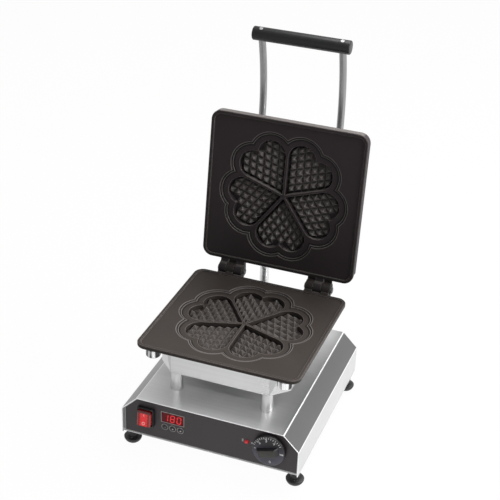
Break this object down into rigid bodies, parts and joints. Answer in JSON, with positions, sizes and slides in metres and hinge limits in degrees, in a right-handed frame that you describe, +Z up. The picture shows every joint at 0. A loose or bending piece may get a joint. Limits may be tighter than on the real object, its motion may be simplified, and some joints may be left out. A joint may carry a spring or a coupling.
{
  "type": "waffle maker",
  "caption": "Commercial heart waffle maker: hinged cast plates over heating trays, a long steel handle and a chamfered stainless base with switch, display and dial.",
  "frame": {"origin": "on the surface the feet stand on, below the middle of the open appliance's bounding box", "axes": "+X to the right as seen from the controls, +Y to the back, +Z up"},
  "size_m": [0.3094, 0.4195, 0.6045],
  "materials": {
    "stainless": "brushed sheet, fine grain",
    "cast_plate": "non-stick coated casting, satin",
    "panel_print": "printed polyester overlay, satin",
    "rubber_black": "moulded rubber",
    "grip_black": "moulded heat-resistant plastic, satin",
    "rod_steel": "drawn round bar",
    "nut_chrome": "chrome plated, knurled",
    "fastener_steel": "zinc plated",
    "conduit_steel": "polished metal sheath",
    "gland_nickel": "nickel plated brass",
    "switch_black": "moulded, fine texture",
    "rocker_red": "translucent red, lit from inside",
    "window_red": "tinted window",
    "key_black": "domed key",
    "lamp_red": "translucent lens",
    "dial_black": "moulded dial, satin",
    "wool": "mineral wool",
    "element_steel": "heat tinted tube",
    "board_green": "circuit board",
    "component_grey": "moulded component body"
  },
  "bodies": {
    "base": {"base_hood": "stainless", "base_floor": "stainless", "front_panel": "stainless", "rear_panel": "stainless", "lower_tray": "stainless", "pillar_front_left": "stainless", "pillar_front_right": "stainless", "pillar_rear_left": "stainless", "pillar_rear_right": "stainless", "lower_plate": "cast_plate", "panel_overlay": "panel_print", "rubber_feet": "rubber_black", "hinge_pin_left": "rod_steel", "hinge_pin_right": "rod_steel", "foot_screws": "fastener_steel", "pillar_screws": "fastener_steel", "hinge_rings": "fastener_steel", "lower_studs": "fastener_steel", "lower_rear_nuts": "fastener_steel", "lower_probe": "fastener_steel", "conduit": "conduit_steel", "base_gland": "gland_nickel", "mains_gland": "gland_nickel", "rocker_bezel": "switch_black", "display_window": "window_red", "pilot_lamp": "lamp_red", "lower_insulation": "wool", "lower_element": "element_steel", "display_board": "board_green", "thermostat": "component_grey", "relay": "component_grey", "terminal_block": "component_grey"},
    "lid": {"upper_plate": "cast_plate", "upper_tray": "stainless", "upper_insulation": "wool", "upper_element": "element_steel", "upper_probe": "fastener_steel", "upper_studs": "fastener_steel", "upper_rear_nuts": "fastener_steel", "handle_rod_left": "rod_steel", "handle_rod_right": "rod_steel", "handle_grip": "grip_black", "grip_screws": "fastener_steel", "rod_clamps": "stainless", "clamp_screws": "fastener_steel", "lid_gland": "gland_nickel"},
    "rocker": {"rocker": "rocker_red"},
    "dial": {"dial_knob": "dial_black", "dial_shaft": "rod_steel"},
    "key_left": {"key_left": "key_black"},
    "key_middle": {"key_middle": "key_black"},
    "key_right": {"key_right": "key_black"},
    "lower_nut_left": {"lower_nut_left": "nut_chrome"},
    "lower_nut_right": {"lower_nut_right": "nut_chrome"},
    "upper_nut_left": {"upper_nut_left": "nut_chrome"},
    "upper_nut_right": {"upper_nut_right": "nut_chrome"}
  },
  "joints": [
    {"name": "lid_hinge", "type": "hinge", "parent": "base", "child": "lid", "pos_m": [0, 0.1037, 0.19], "axis": [1, 0, 0], "range_deg": [0, 97.5], "deforming": ["conduit"]},
    {"name": "rocker_switch", "type": "hinge", "parent": "base", "child": "rocker", "pos_m": [-0.1073, -0.195, 0.0705], "axis": [1, 0, 0], "range_deg": [0, 16]},
    {"name": "dial_turn", "type": "hinge", "parent": "base", "child": "dial", "pos_m": [0.102, -0.193, 0.069], "axis": [0, 1, 0], "range_deg": [0, 270]},
    {"name": "key_left_press", "type": "slide", "parent": "base", "child": "key_left", "axis": [0, 1, 0], "range_m": [0, 0.0008], "stiffness_N_per_m": 400},
    {"name": "key_middle_press", "type": "slide", "parent": "base", "child": "key_middle", "axis": [0, 1, 0], "range_m": [0, 0.0008], "stiffness_N_per_m": 400},
    {"name": "key_right_press", "type": "slide", "parent": "base", "child": "key_right", "axis": [0, 1, 0], "range_m": [0, 0.0008], "stiffness_N_per_m": 400},
    {"name": "lower_nut_left_turn", "type": "hinge", "parent": "base", "child": "lower_nut_left", "pos_m": [-0.11, -0.158, 0.17308], "axis": [0, 0, 1], "continuous": true},
    {"name": "lower_nut_right_turn", "type": "hinge", "parent": "base", "child": "lower_nut_right", "pos_m": [0.11, -0.158, 0.17308], "axis": [0, 0, 1], "continuous": true},
    {"name": "upper_nut_left_turn", "type": "hinge", "parent": "lid", "child": "upper_nut_left", "pos_m": [-0.11, 0.15464, 0.44725], "axis": [0, 0.9914, -0.1305], "continuous": true},
    {"name": "upper_nut_right_turn", "type": "hinge", "parent": "lid", "child": "upper_nut_right", "pos_m": [0.11, 0.15464, 0.44725], "axis": [0, 0.9914, -0.1305], "continuous": true}
  ]
}
